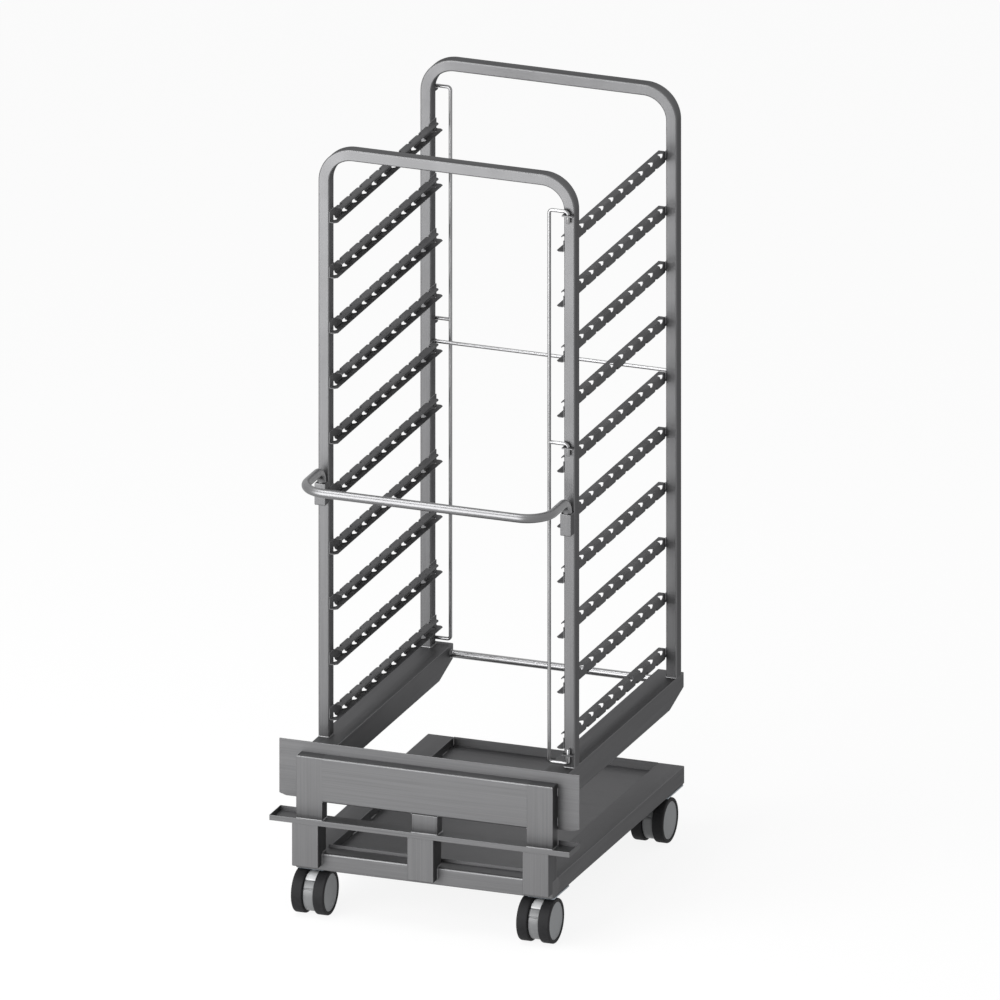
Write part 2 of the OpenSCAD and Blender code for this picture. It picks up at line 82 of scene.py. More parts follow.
def round_rect(width, height, radius, steps=5, hold=0.4 * MM):
    """A closed outline: quarter circles of the radius about the four corner centres of a
    rectangle. A point at the distance hold on each side of a quarter keeps the sides flat."""
    t = np.linspace(0, np.pi / 2, steps + 1)
    quarter = radius * np.stack([np.cos(t), np.sin(t)], 1)
    quarter = np.concatenate([[[radius, -hold]], quarter, [[-hold, radius]]])
    turns = np.arange(4) * np.pi / 2
    spin = np.stack([np.cos(turns), -np.sin(turns), np.sin(turns), np.cos(turns)], 1)
    quarters = np.einsum("kab,nb->kna", spin.reshape(4, 2, 2), quarter)
    centres = np.array([(1, 1), (-1, 1), (-1, -1), (1, -1)])
    centres = centres * (width / 2 - radius, height / 2 - radius)
    outline = (quarters + centres[:, None]).reshape(-1, 2)
    return np.concatenate([outline, outline[:1]])


def bent(corners, radii, steps=14, hold=2 * MM):
    """A path and its directions: straight runs between corners, each inner corner replaced by
    an arc of its radius. With a the direction in, n the one square to it in the bend's plane
    and f the angle turned so far, an arc's point is start + radius * (sin f * a + (1 - cos f) * n)
    and its direction is cos f * a + sin f * n."""
    corners = np.asarray(corners, float)
    ways = unit(np.diff(corners, axis=0))
    radii = np.broadcast_to(radii, len(corners) - 2)
    points, directions = [corners[:1]], [ways[:1]]
    for at, a, b, radius in zip(corners[1:-1], ways[:-1], ways[1:], radii):
        turn = np.arccos(np.clip(a @ b, -1, 1))
        n = unit(b - (a @ b) * a)
        start = at - a * radius * np.tan(turn / 2)
        f = np.linspace(0, turn, steps + 1)[:, None]
        arc = start + radius * (np.sin(f) * a + (1 - np.cos(f)) * n)
        points += [[start - hold * a], arc, [arc[-1] + hold * b]]
        directions += [[a], np.cos(f) * a + np.sin(f) * n, [b]]
    return np.concatenate(points + [corners[-1:]]), np.concatenate(directions + [ways[-1:]])


def carried(outline, path, directions, up, scale=None):
    """The outline carried along a path: point (i, j) is path i plus the outline's first number
    j times the side plus its second times the up of that place, both square to its direction.
    The outline is drawn in at row i by scale i, and closed to a point at both ends."""
    t = unit(directions)
    b = unit(np.asarray(up, float) - (t @ up)[:, None] * t)
    a = np.cross(b, t)
    size = np.ones(len(path)) if scale is None else scale
    rows = outline[None, :, :] * size[:, None, None]
    grid = path[:, None] + rows[..., :1] * a[:, None] + rows[..., 1:] * b[:, None]
    ends = [np.repeat(path[k:k + 1, None], grid.shape[1], 1) for k in (0, len(path) - 1)]
    return np.concatenate([ends[0], grid, ends[1]])


# A dome's last row lies just short of its pole, which then closes it
DOME_TURN = 0.96


def domed(path, directions, depth, steps=5):
    """Rounds off both ends of a path: it adds rows at depth * sin f beyond the end, whose
    scale is cos f. Returns the longer path, its directions and the rows' scale."""
    f = np.linspace(0, np.pi / 2 * DOME_TURN, steps + 1)[1:, None]
    first = path[0] - directions[0] * depth * np.sin(f[::-1])
    last = path[-1] + directions[-1] * depth * np.sin(f)
    fall = np.cos(f[:, 0])
    return (
        np.concatenate([first, path, last]),
        np.concatenate([np.repeat(directions[:1], steps, 0), directions,
                        np.repeat(directions[-1:], steps, 0)]),
        np.concatenate([fall[::-1], np.ones(len(path)), fall]),
    )


def turned(profile, centre, axis, steps=96):
    """A profile of (distance along the axis, radius) turned round the axis: point (i, j) is
    centre + s_j * axis + r_j * (cos t_i * e + sin t_i * g), with e and g square to the axis."""
    axis = unit(axis)
    e = unit(np.cross(axis, (0, 0, 1) if abs(axis[2]) < 0.9 else (1, 0, 0)))
    g = np.cross(axis, e)
    t = np.linspace(0, 2 * np.pi, steps + 1)[:, None, None]
    profile = np.asarray(profile, float)
    s, r = profile[None, :, :1], profile[None, :, 1:]
    return np.asarray(centre, float) + s * axis + r * (np.cos(t) * e + np.sin(t) * g)


def eased(points, radii, steps=4):
    """A closed profile whose corners are rounded: each is replaced by a curve from the point a
    radius before it to the one a radius after it,
    (1 - t)^2 * before + 2t (1 - t) * corner + t^2 * after."""
    points, radii = np.asarray(points, float), np.asarray(radii, float)[:, None]
    before = points + radii * unit(np.roll(points, 1, 0) - points)
    after = points + radii * unit(np.roll(points, -1, 0) - points)
    t = np.linspace(0, 1, steps + 1)[None, :, None]
    curve = ((1 - t) ** 2 * before[:, None] + 2 * t * (1 - t) * points[:, None]
             + t ** 2 * after[:, None]).reshape(-1, 2)
    return np.concatenate([curve, curve[:1]])


# A weld's ripples, one for each drop of filler rod, and how finely a bead is drawn
RIPPLE = 2.4 * MM
RIPPLE_SWELL = 0.12
RIPPLE_ROWS = 4
BEAD_SIDES = 8
BEAD_TIP = 0.05


def welded(path, directions, radius):
    """A weld bead: a round bar whose centre runs along the line where two faces meet, so that a
    quarter of it shows. At the length s its radius is the given one times
    1 + swell * |sin(pi * s / ripple)|, and within a radius of an end it is rounded off."""
    s = np.concatenate([[0], np.cumsum(np.linalg.norm(np.diff(path, axis=0), axis=1))])
    even = np.linspace(0, s[-1], int(s[-1] / RIPPLE * RIPPLE_ROWS) + 2)
    path = np.stack([np.interp(even, s, path[:, k]) for k in range(3)], 1)
    directions = unit(np.stack([np.interp(even, s, directions[:, k]) for k in range(3)], 1))
    end = np.clip(np.minimum(even, even[-1] - even) / radius, 0, 1)
    scale = (1 + RIPPLE_SWELL * np.abs(np.sin(np.pi * even / RIPPLE))) * np.sqrt(end * (2 - end))
    scale = np.maximum(scale, BEAD_TIP)
    return carried(ring(2 * radius, BEAD_SIDES), path, directions, (1, 1, 1), scale)


def bead(corners, radius, bend=1.5 * MM):
    """A weld bead along straight lines between corners."""
    return welded(*bent(corners, bend, steps=6), radius)


def ring_bead(centre, bar_radius, radius, steps=36):
    """A weld bead round the end of a bar that lies along X: centre + bar radius times
    (0, cos t, sin t)."""
    t = np.linspace(0, 2 * np.pi, steps + 1)
    circle = np.stack([0 * t, np.cos(t), np.sin(t)], 1)
    ways = np.stack([0 * t, -np.sin(t), np.cos(t)], 1)
    return welded(np.asarray(centre, float) + bar_radius * circle, ways, radius)


def volume(grid):
    """Six times the volume that a closed grid holds, negative where its faces look inwards."""
    p, q, r, s = grid[:-1, :-1], grid[:-1, 1:], grid[1:, 1:], grid[1:, :-1]
    return np.sum(np.cross(p, q) * r) + np.sum(np.cross(p, r) * s)


# Points of one piece that lie nearer than this are made one
SAME_POINT = 1e-7


def piece(name, grids, material, body, nodes=(), crease=40):
    """One object from closed grids of points: quads join each point to its neighbours in the
    next row and column. The UV map holds the lengths along a row and along a column, in metres."""
    points, faces, uvs, count = [], [], [], 0
    for grid in grids:
        if volume(grid) < 0:
            grid = grid[:, ::-1]
        rows, columns = grid.shape[:2]
        across = np.linalg.norm(np.diff(grid, axis=1), axis=2).max(0)
        along = np.linalg.norm(np.diff(grid, axis=0), axis=2).mean(1)
        u = np.concatenate([[0], np.cumsum(across)])
        v = np.concatenate([[0], np.cumsum(along)])
        uv = np.stack(np.meshgrid(u, v), 2).reshape(-1, 2)
        index = np.arange(rows * columns).reshape(rows, columns)
        quads = np.stack([index[:-1, :-1], index[:-1, 1:], index[1:, 1:], index[1:, :-1]], 2)
        quads = quads.reshape(-1, 4)
        points.append(grid.reshape(-1, 3))
        faces.append(quads + count)
        uvs.append(uv[quads].reshape(-1, 2))
        count += rows * columns
    mesh = bpy.data.meshes.new(name)
    mesh.from_pydata(np.concatenate(points), [], np.concatenate(faces))
    layer = mesh.uv_layers.new(name="surface_lengths")
    layer.data.foreach_set("uv", np.concatenate(uvs).astype(np.float32).ravel())
    work = bmesh.new()
    work.from_mesh(mesh)
    bmesh.ops.remove_doubles(work, verts=work.verts, dist=SAME_POINT)
    work.to_mesh(mesh)
    work.free()
    mesh.validate()
    mesh.shade_smooth()
    mesh.set_sharp_from_angle(angle=math.radians(crease))
    mesh.materials.append(material)
    made = bpy.data.objects.new(name, mesh)
    bpy.context.scene.collection.objects.link(made)
    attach(made, body)
    if nodes:
        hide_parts(*nodes)
    return made


# Materials

def linear(code):
    """An sRGB hex colour as linear RGBA: c / 12.92 when dark, else ((c + 0.055) / 1.055) ** 2.4."""
    channels = [int(code[k:k + 2], 16) / 255 for k in (1, 3, 5)]
    return [c / 12.92 if c <= 0.04045 else ((c + 0.055) / 1.055) ** 2.4 for c in channels] + [1]


def add(tree, kind, sockets=(), **settings):
    """Adds a node: settings are its properties, and sockets pair an input's name or number with
    a value or with the output that feeds it."""
    made = tree.nodes.new(kind)
    for name, value in settings.items():
        setattr(made, name, value)
    for name, value in sockets:
        if isinstance(value, bpy.types.NodeSocket):
            tree.links.new(value, made.inputs[name])
        else:
            made.inputs[name].default_value = value
    return made


def shader(name):
    """A new material with an empty tree. Returns the material, its tree and the finished
    Principled shader, already joined to the output."""
    material = bpy.data.materials.new(name)
    material.use_nodes = True
    tree = material.node_tree
    tree.nodes.clear()
    main = add(tree, "ShaderNodeBsdfPrincipled")
    add(tree, "ShaderNodeOutputMaterial", [("Surface", main.outputs[0])])
    return material, tree, main


def speckle(tree, vector, size, detail=2.0, roughness=0.5):
    """Noise whose lumps measure about size metres along each axis of the vector."""
    size = (size,) * 3 if isinstance(size, (int, float)) else size
    scaled = add(tree, "ShaderNodeMapping", [("Vector", vector), ("Scale", [1 / s for s in size])])
    return add(tree, "ShaderNodeTexNoise", [
        ("Vector", scaled.outputs[0]), ("Scale", 1.0), ("Detail", detail),
        ("Roughness", roughness)]).outputs["Fac"]


def spread(tree, value, low, high):
    """Turns noise from 0.3 to 0.7 into a number from low to high."""
    return add(tree, "ShaderNodeMapRange", [
        ("Value", value), ("From Min", 0.3), ("From Max", 0.7),
        ("To Min", low), ("To Max", high)]).outputs[0]


def between(tree, factor, dark, light):
    """A colour that goes from dark to light, both sRGB hex, as the factor goes from 0 to 1."""
    return add(tree, "ShaderNodeMix", [
        ("Factor", factor), (6, linear(dark)), (7, linear(light))], data_type="RGBA").outputs[2]


# The belt's scratches are 0.1 mm apart, and are drawn coarser, to show from a step away
SCRATCH = 2.2 * MM
SCRATCH_LENGTH = 0.35
STEEL_DARK, STEEL_LIGHT = "#666667", "#727273"
# The share of the light that a face keeps at a flat angle, where its scratches shade each other.
# The tubes are ground with a coarser belt than the sheets
FLAT_SHEET, FLAT_BEAM, FLAT_TUBE = 0.45, 0.34, 0.25


def brushed_stainless(grain, flat):
    """Cold-rolled 304 steel, brushed with a 180 grit belt: a dull grey mirror whose fine
    scratches run along the tube or sheet. Grain is "X", "Y" or "Z", or "UV" along a tube, and
    flat is the share of light kept at a flat angle."""
    material, tree, main = shader("brushed_stainless_" + grain.lower())
    source = add(tree, "ShaderNodeTexCoord").outputs["UV" if grain == "UV" else "Object"]
    lumps = [SCRATCH] * 3
    lumps[1 if grain == "UV" else "XYZ".index(grain)] = SCRATCH_LENGTH
    scratches = speckle(tree, source, lumps, 3.0, 0.65)
    patches = speckle(tree, source, 110 * MM, 2.0)
    handling = spread(tree, patches, -0.03, 0.05)
    rough = add(tree, "ShaderNodeMath", [
        (0, spread(tree, scratches, 0.42, 0.52)), (1, handling)], operation="ADD").outputs[0]
    tree.links.new(between(tree, spread(tree, scratches, 0, 1), STEEL_DARK, STEEL_LIGHT),
                   main.inputs["Base Color"])
    tree.links.new(rough, main.inputs["Roughness"])
    main.inputs["Metallic"].default_value = 1.0
    main.inputs["Specular Tint"].default_value = [flat, flat, flat, 1]
    bump = add(tree, "ShaderNodeBump", [
        ("Strength", 0.03), ("Distance", 0.1 * MM), ("Height", scratches)])
    tree.links.new(bump.outputs[0], main.inputs["Normal"])
    return material


def rolled_stainless():
    """Cold-rolled 304 sheet as it leaves the mill, punched and folded: a dull skin without grain
    that scatters more light, with faint clouds a hand wide."""
    material, tree, main = shader("rolled_stainless")
    source = add(tree, "ShaderNodeTexCoord").outputs["Object"]
    clouds = speckle(tree, source, 90 * MM, 3.0)
    tree.links.new(between(tree, spread(tree, clouds, 0, 1), "#626263", "#6d6d6e"),
                   main.inputs["Base Color"])
    tree.links.new(spread(tree, clouds, 0.58, 0.66), main.inputs["Roughness"])
    main.inputs["Metallic"].default_value = 1.0
    main.inputs["Specular Tint"].default_value = [FLAT_BEAM, FLAT_BEAM, FLAT_BEAM, 1]
    return material


def weld_metal():
    """Stainless weld metal, pickled after welding: a clean, slightly bright grey between the
    ripples, with a duller bloom in patches."""
    material, tree, main = shader("pickled_weld_metal")
    source = add(tree, "ShaderNodeTexCoord").outputs["Object"]
    bloom = speckle(tree, source, 5 * MM, 3.0)
    tree.links.new(between(tree, spread(tree, bloom, 0, 1), "#69696a", "#7d7d7e"),
                   main.inputs["Base Color"])
    tree.links.new(spread(tree, bloom, 0.30, 0.44), main.inputs["Roughness"])
    main.inputs["Metallic"].default_value = 1.0
    return material


def buffed_stainless(name, dark, light, rough):
    """Drawn round bar and tube, buffed with a cloth wheel: broad, clear highlights along it, and
    the slightly duller patches that hands leave."""
    material, tree, main = shader(name)
    source = add(tree, "ShaderNodeTexCoord").outputs["Object"]
    hands = speckle(tree, source, 120 * MM, 2.0)
    tree.links.new(spread(tree, hands, rough - 0.02, rough + 0.03), main.inputs["Roughness"])
    tree.links.new(between(tree, spread(tree, hands, 0, 1), dark, light),
                   main.inputs["Base Color"])
    main.inputs["Metallic"].default_value = 1.0
    return material


def zinc_plate():
    """Bright zinc on pressed steel: bluish, with the crystals of the plating as faint patches
    of a few millimetres."""
    material, tree, main = shader("bright_zinc_plate")
    source = add(tree, "ShaderNodeTexCoord").outputs["Object"]
    crystals = add(tree, "ShaderNodeTexVoronoi", [
        ("Vector", source), ("Scale", 1 / (4 * MM))]).outputs["Color"]
    tone = add(tree, "ShaderNodeSeparateColor", [(0, crystals)]).outputs[0]
    tree.links.new(between(tree, tone, "#6f757b", "#828990"), main.inputs["Base Color"])
    tree.links.new(add(tree, "ShaderNodeMapRange", [
        ("Value", tone), ("To Min", 0.30), ("To Max", 0.42)]).outputs[0],
        main.inputs["Roughness"])
    main.inputs["Metallic"].default_value = 1.0
    return material


def moulded_plastic(name, dark, light, rough, grain):
    """Glass-filled polyamide, injection moulded in an eroded tool: an even satin skin of fine
    pits with slightly cloudy colour. The grain is the size of the pits, in metres."""
    material, tree, main = shader(name)
    source = add(tree, "ShaderNodeTexCoord").outputs["Object"]
    clouds = speckle(tree, source, 18 * MM, 3.0)
    pits = speckle(tree, source, grain, 1.0)
    tree.links.new(between(tree, spread(tree, clouds, 0, 1), dark, light),
                   main.inputs["Base Color"])
    tree.links.new(spread(tree, clouds, rough - 0.04, rough + 0.05), main.inputs["Roughness"])
    bump = add(tree, "ShaderNodeBump", [
        ("Strength", 0.15), ("Distance", 0.1 * MM), ("Height", pits)])
    tree.links.new(bump.outputs[0], main.inputs["Normal"])
    main.inputs["IOR"].default_value = 1.53
    return material


def tyre_rubber():
    """Carbon-black rubber: near black and matt, worn grey and dusty in patches where the tread
    rolls."""
    material, tree, main = shader("tyre_rubber")
    source = add(tree, "ShaderNodeTexCoord").outputs["Object"]
    dust = speckle(tree, source, 9 * MM, 4.0, 0.7)
    tree.links.new(between(tree, spread(tree, dust, 0, 1), "#0e0e0f", "#1e1e20"),
                   main.inputs["Base Color"])
    tree.links.new(spread(tree, dust, 0.68, 0.82), main.inputs["Roughness"])
    # The dust holds back half of the gloss
    main.inputs["Specular IOR Level"].default_value = 0.25
    bump = add(tree, "ShaderNodeBump", [
        ("Strength", 0.2), ("Distance", 0.1 * MM), ("Height", speckle(tree, source, 1 * MM))])
    tree.links.new(bump.outputs[0], main.inputs["Normal"])
    main.inputs["IOR"].default_value = 1.52
    return material


STEEL = {"X": brushed_stainless("X", FLAT_SHEET), "Y": brushed_stainless("Y", FLAT_BEAM),
         "Z": brushed_stainless("Z", FLAT_TUBE), "UV": brushed_stainless("UV", FLAT_TUBE)}
ROLLED = rolled_stainless()
BRIGHT = buffed_stainless("buffed_stainless_wire", "#8a8a8b", "#959596", 0.32)
SATIN = buffed_stainless("buffed_stainless_handle", "#747475", "#7e7e7f", 0.38)
ZINC = zinc_plate()
RUBBER = tyre_rubber()
WELD = weld_metal()
HOOD = moulded_plastic("grey_polyamide_hood", "#626364", "#6c6d6e", 0.40, 0.8 * MM)
# The crown's pale grey is a painted highlight: it stands in for the light that the frame above
# keeps off the top of each hood
CROWN = moulded_plastic("polyamide_crown_painted_highlight", "#c6c7c8", "#d0d1d2", 0.36, 0.8 * MM)
DISC = moulded_plastic("grey_polyamide_disc", "#696b6d", "#737577", 0.48, 0.8 * MM)

# Nodes that keep their own mesh, by the way their grain runs
GRAINS = {
    "X": ["splash_panel", "drip_gutter", "front_cross_member", "rear_cross_member",
          "floor_pan"],
    "Y": ["runner_left", "runner_right", "chassis_beam_left", "chassis_beam_right"],
    "Z": ["portal_posts", "lower_legs", "handle_sockets", "gate_brackets_front",
          "gate_brackets_rear"],
}
for grain, names in GRAINS.items():
    for name in names:
        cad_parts[name].material_slots[0].material = STEEL[grain]
for name in [f"rail_{side}_{number}" for side in SIDES for number in RAILS]:
    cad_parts[name].material_slots[0].material = ROLLED
for name in ("rear_stop_rod", "rear_base_rod"):
    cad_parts[name].material_slots[0].material = BRIGHT
for name in ("caster_plates", *[f"axle_{place}" for place in CASTERS]):
    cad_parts[name].material_slots[0].material = ZINC


TUBE_EDGE = 2.0 * MM
SHEET_EDGE = 0.4 * MM
NODE_MERGE = 1e-6
SHARP_EDGE = math.radians(40)


def soften(name, width, segments=3):
    """Rounds a node's sharp edges as a drawn tube or a sheared sheet has them. Its triangles are
    welded first, and flat faces keep their shading."""
    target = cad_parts[name]
    weld = target.modifiers.new("join", "WELD")
    weld.merge_threshold = NODE_MERGE
    bevel = target.modifiers.new("round", "BEVEL")
    bevel.width = width
    bevel.segments = segments
    bevel.limit_method = "ANGLE"
    bevel.angle_limit = SHARP_EDGE
    bevel.use_clamp_overlap = False
    shade = target.modifiers.new("shade", "WEIGHTED_NORMAL")
    shade.keep_sharp = False
    shade.weight = 100


for name in ("runner_left", "runner_right", "portal_posts", "lower_legs",
             "chassis_beam_left", "chassis_beam_right", "front_cross_member",
             "rear_cross_member", "handle_sockets"):
    soften(name, TUBE_EDGE)
for name in ("splash_panel", "gate_brackets_front", "gate_brackets_rear", "drip_gutter"):
    soften(name, SHEET_EDGE, segments=2)


# The two rack frames

FRAME_EDGE = 3.0 * MM
POST_W = 25 * MM
FRAME_BEND = 77.5 * MM
for name in ("front_frame", "rear_frame"):
    low, high = corner(name, 0), corner(name, 1)
    depth = high[1] - low[1]
    x, y, top = high[0] - POST_W / 2, (low[1] + high[1]) / 2, high[2] - POST_W / 2
    path, directions = bent([(-x, y, low[2]), (-x, y, top), (x, y, top), (x, y, low[2])],
                            FRAME_BEND - POST_W / 2, steps=24)
    tube = carried(round_rect(POST_W, depth, FRAME_EDGE), path, directions, (0, 1, 0))
    piece(name + "_tube", [tube], STEEL["UV"], "root", [name])


# The portal beam

SEAM_FILL = 1.5 * MM
BEAM_EDGE = 3.0 * MM
low, high = corner("portal_beam", 0), corner("portal_beam", 1)
middle = (low + high) / 2
ends = np.array([(low[0] - SEAM_FILL, *middle[1:]), (high[0] + SEAM_FILL, *middle[1:])])
section = round_rect(high[1] - low[1], high[2] - low[2], BEAM_EDGE)
# The seams to the posts are ground flush, so the tube also fills the posts' rounded edges
beam = carried(section, ends, np.array([(1, 0, 0), (1, 0, 0)]), (0, 0, 1))
piece("portal_beam_tube", [beam], STEEL["X"], "root", ["portal_beam"])


# The two wire gates

WIRE = 8 * MM
WIRE_DOME = 1 * MM
PIN_BEND = 7 * MM
LOW_PIN = 34 * MM - WIRE_DOME
HIGH_PIN = 28 * MM - WIRE_DOME
GATE_MIDDLE = 1100 * MM


def gate(name, body, node, pivot, way):
    """A gate from one bent wire: a pin up from the bottom arm, the bottom arm, the upright, the
    top arm and a pin down, with a middle arm welded to the upright and its own pin. The arms
    leave the pivot along X by the given way."""
    low, high = corner(node, 0), corner(node, 1)
    reach = (high[0] - low[0] - WIRE) * way
    x, y = pivot[0], pivot[1]
    bottom, top = low[2] + WIRE / 2, high[2] - WIRE / 2
    main_wire = [(x, y, bottom + LOW_PIN), (x, y, bottom), (x + reach, y, bottom),
                 (x + reach, y, top), (x, y, top), (x, y, top - HIGH_PIN)]
    middle_wire = [(x + reach, y, GATE_MIDDLE), (x, y, GATE_MIDDLE),
                   (x, y, GATE_MIDDLE - HIGH_PIN)]
    grids = []
    for wire in (main_wire, middle_wire):
        rows, ways, scale = domed(*bent(wire, PIN_BEND, steps=10), WIRE_DOME)
        grids.append(carried(ring(WIRE, steps=20), rows, ways, (0, 1, 0), scale))
    piece(name, grids, BRIGHT, body, [node])


PIVOT_X = corner("front_tray_gate", 1)[0] - WIRE / 2
gate("front_gate_wire", "front_gate", "front_tray_gate",
     (PIVOT_X, corner("front_tray_gate", 0)[1] + WIRE / 2), -1)
gate("rear_gate_wire", "rear_gate", "rear_tray_gate",
     (-PIVOT_X, corner("rear_tray_gate", 0)[1] + WIRE / 2), 1)


# The push handle

HANDLE_R = 10 * MM
HANDLE_BENDS = [28 * MM, 60 * MM, 60 * MM, 28 * MM]
HANDLE_WALL = 2 * MM
HANDLE_BORE = 15 * MM
# The outline's up: a slanting way that no run of the handle lies along
HANDLE_UP = (0.3, 0.5, 0.8)


def handle_tube():
    """One bent tube: up out of the left socket, forwards, across and back down into the right
    one. At both ends the outline steps in by the wall and runs back inside, as an open bore."""
    low, high = corner("push_handle", 0), corner("push_handle", 1)
    x, y_back = high[0] - HANDLE_R, high[1] - HANDLE_R
    y_front, top = low[1] + HANDLE_R, high[2] - HANDLE_R
    route = [(-x, y_back, low[2]), (-x, y_back, top), (-x, y_front, top),
             (x, y_front, top), (x, y_back, top), (x, y_back, low[2])]
    path, ways = bent(route, HANDLE_BENDS, steps=20)
    inside = np.array([(0, 0, HANDLE_BORE), (0, 0, 0)])
    path = np.concatenate([path[0] + inside, path, path[-1] + inside[::-1]])
    ways = np.concatenate([ways[:1], ways[:1], ways, ways[-1:], ways[-1:]])
    scale = np.ones(len(path))
    scale[[0, 1, -2, -1]] = 1 - HANDLE_WALL / HANDLE_R
    tube = carried(ring(2 * HANDLE_R, steps=48), path, ways, HANDLE_UP, scale)
    piece("push_handle_tube", [tube], SATIN, "push_handle",
          ["push_handle"])


handle_tube()


# The welds

FOOT_BEAD, RAIL_BEAD, BRACKET_BEAD, LEG_BEAD = 1.6 * MM, 1.3 * MM, 1.1 * MM, 1.8 * MM
# A rail's bead starts on its top, runs down the post's edge and stops above the punched holes
RAIL_BEAD_START, RAIL_BEAD_DROP, RAIL_BEAD_FOOT = 2 * MM, 1 * MM, 10 * MM
# A bracket's bead runs under it: the middle bracket's underside lies this far below its wire
BRACKET_DROP, BRACKET_T, BRACKET_BEAD_INSET = 10.2 * MM, 3 * MM, 1.5 * MM
# A post's edge within this of the portal's outermost edge is that edge, and gets no bead
OUTER_EDGE = 1 * MM
HOOK_BEND = 5 * MM
# Stitches between the outer posts and the panel, at these heights on each side
PANEL_STITCHES, PANEL_STITCH = (262 * MM, 330 * MM), 20 * MM
# Stitches along each side of the floor pan, between these distances from its ends
PAN_STITCHES, PAN_STITCH = 7, 30 * MM
PAN_FIRST, PAN_LAST, PAN_T = 40 * MM, 70 * MM, 1.5 * MM


def rack_welds():
    """Beads where the posts stand on the runners, the rails' webs lie against the posts, and
    rods, brackets and sockets meet what carries them."""
    grids = []
    inner = corner("front_frame", 1)[0] - POST_W
    for frame_name in ("front_frame", "rear_frame"):
        low, high = corner(frame_name, 0), corner(frame_name, 1)
        for side in (-1, 1):
            outline = [(high[0], low[1]), (inner, low[1]), (inner, high[1]), (high[0], high[1])]
            grids.append(bead([(side * x, y, low[2]) for x, y in outline], FOOT_BEAD))
    front_back, rear_front = corner("front_frame", 1)[1], corner("rear_frame", 0)[1]
    for number in RAILS:
        for side_name, side in zip(SIDES, (-1, 1)):
            rail = f"rail_{side_name}_{number}"
            low, high = corner(rail, 0), corner(rail, 1)
            top, foot = high[2] - RAIL_BEAD_DROP, low[2] + RAIL_BEAD_FOOT
            for end, edge, way in ((low[1], front_back, 1), (high[1], rear_front, -1)):
                line = [(end + way * RAIL_BEAD_START, top), (edge, top), (edge, foot)]
                grids.append(bead([(side * inner, y, z) for y, z in line], RAIL_BEAD))
    for name, size in (("rear_stop_rod", BRACKET_BEAD), ("rear_base_rod", FOOT_BEAD)):
        low, high = corner(name, 0), corner(name, 1)
        for x in (low[0], high[0]):
            grids.append(ring_bead((x, *(low + high)[1:] / 2), (high[2] - low[2]) / 2, size))
    for node in ("gate_brackets_front", "gate_brackets_rear", "handle_sockets"):
        low, high = corner(node, 0), corner(node, 1)
        on_face = low[1] if node == "gate_brackets_rear" else high[1]
        sides = {"gate_brackets_front": [1], "gate_brackets_rear": [-1]}.get(node, [-1, 1])
        heights = [low[2]]
        if node != "handle_sockets":
            heights += [GATE_MIDDLE - BRACKET_DROP, high[2] - BRACKET_T]
        gaps = (BRACKET_BEAD_INSET, POST_W - BRACKET_BEAD_INSET)
        for side in sides:
            for z in heights:
                line = [(side * (inner + gap), on_face, z) for gap in gaps]
                grids.append(bead(line, BRACKET_BEAD))
    piece("rack_welds", grids, WELD, "root")


def box_outline(mid_x, half, y_front, y_back, z):
    """The four corners of a level rectangle, closed at its first corner."""
    return [(mid_x - half, y_back, z), (mid_x - half, y_front, z), (mid_x + half, y_front, z),
            (mid_x + half, y_back, z), (mid_x - half, y_back, z)]


def base_welds():
    """Beads round the portal posts' feet and the legs' tops, under the portal beam, between the
    legs and the cross member, and in stitches along panel and floor pan."""
    grids = []
    post_low, post_high = corner("portal_posts", 0), corner("portal_posts", 1)
    leg_low, leg_high = corner("lower_legs", 0), corner("lower_legs", 1)
    cross_low, cross_high = corner("front_cross_member", 0), corner("front_cross_member", 1)
    pan_low, pan_high = corner("floor_pan", 0), corner("floor_pan", 1)
    beam_foot, cross_top = corner("portal_beam", 0)[2], cross_high[2]
    half = (post_high[0] + corner("portal_beam", 0)[0]) / 2
    for mid in (half - post_high[0], 0, post_high[0] - half):
        foot = box_outline(mid, half, post_low[1], post_high[1], post_low[2])
        head = box_outline(mid, half, leg_low[1], leg_high[1], leg_high[2])
        grids += [bead(foot, LEG_BEAD), bead(head, LEG_BEAD)]
        for x in (mid - half, mid + half):
            if abs(x) < post_high[0] - OUTER_EDGE:
                under = [(x, post_low[1], beam_foot), (x, post_high[1], beam_foot)]
                hook = [(x, cross_low[1], leg_low[2]), (x, cross_low[1], cross_top),
                        (x, leg_high[1], cross_top)]
                grids += [bead(under, FOOT_BEAD), bead(hook, FOOT_BEAD, HOOK_BEND)]
        behind = [(mid - half, leg_high[1], cross_top), (mid + half, leg_high[1], cross_top)]
        grids.append(bead(behind, FOOT_BEAD))
    pan_top = pan_low[2] + PAN_T
    for side in (-1, 1):
        x, y = side * post_high[0], post_high[1]
        for z in PANEL_STITCHES:
            grids.append(bead([(x, y, z), (x, y, z + PANEL_STITCH)], FOOT_BEAD))
        x = side * pan_high[0]
        for y in np.linspace(cross_high[1] + PAN_FIRST, pan_high[1] - PAN_LAST, PAN_STITCHES):
            grids.append(bead([(x, y, pan_top), (x, y + PAN_STITCH, pan_top)], RAIL_BEAD))
    piece("base_welds", grids, WELD, "root")


rack_welds()
base_welds()


# The casters

DRUM_R = 44 * MM
TRAIL = 35 * MM
HOOD_W = 24 * MM
HOOD_EDGE = 2.2 * MM
# Degrees up from the front, round the axle: the crown's front edge and a second seam below it
SEAM_ANGLES = (49, 22)
SEAM_DEPTH, SEAM_HALF = 1.8 * MM, 1.4 * MM
# The crown ends this many degrees up from the back
CROWN_BACK = 25
CROWN_BED, CROWN_FOOT = 3 * MM, 5 * MM
NECK_FOOT = 20 * MM
NECK_BORE = 6.05 * MM
NECK_CHAMFER = 1 * MM
